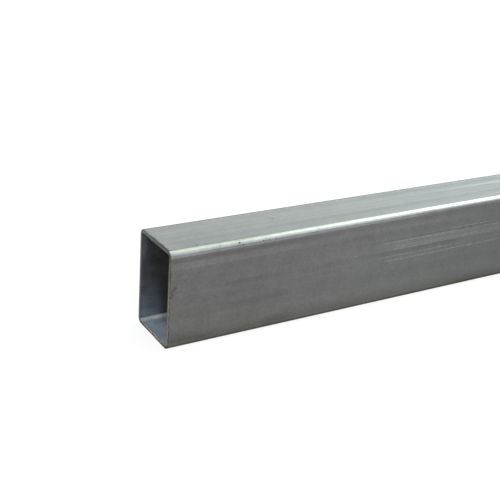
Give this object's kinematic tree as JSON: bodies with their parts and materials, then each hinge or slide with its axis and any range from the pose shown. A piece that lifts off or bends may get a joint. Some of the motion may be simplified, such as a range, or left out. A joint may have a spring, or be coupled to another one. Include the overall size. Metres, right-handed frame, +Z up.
{
  "type": "rectangular steel tube",
  "caption": "Straight galvanised steel tube of rectangular section, with rolled round corners, open square-cut ends and a low weld bead along the inside of its top wall.",
  "frame": {"origin": "middle of the bottom face, halfway along the length", "axes": "+X along the length, +Y across the narrow side, +Z up the tall side"},
  "size_m": [1, 0.04, 0.06],
  "materials": {
    "galvanised_steel": "satin zinc coating with fine lengthwise roll marks, bare sawn steel at the two cut ends"
  },
  "bodies": {
    "root": {"rectangular_tube": "galvanised_steel"}
  },
  "joints": []
}
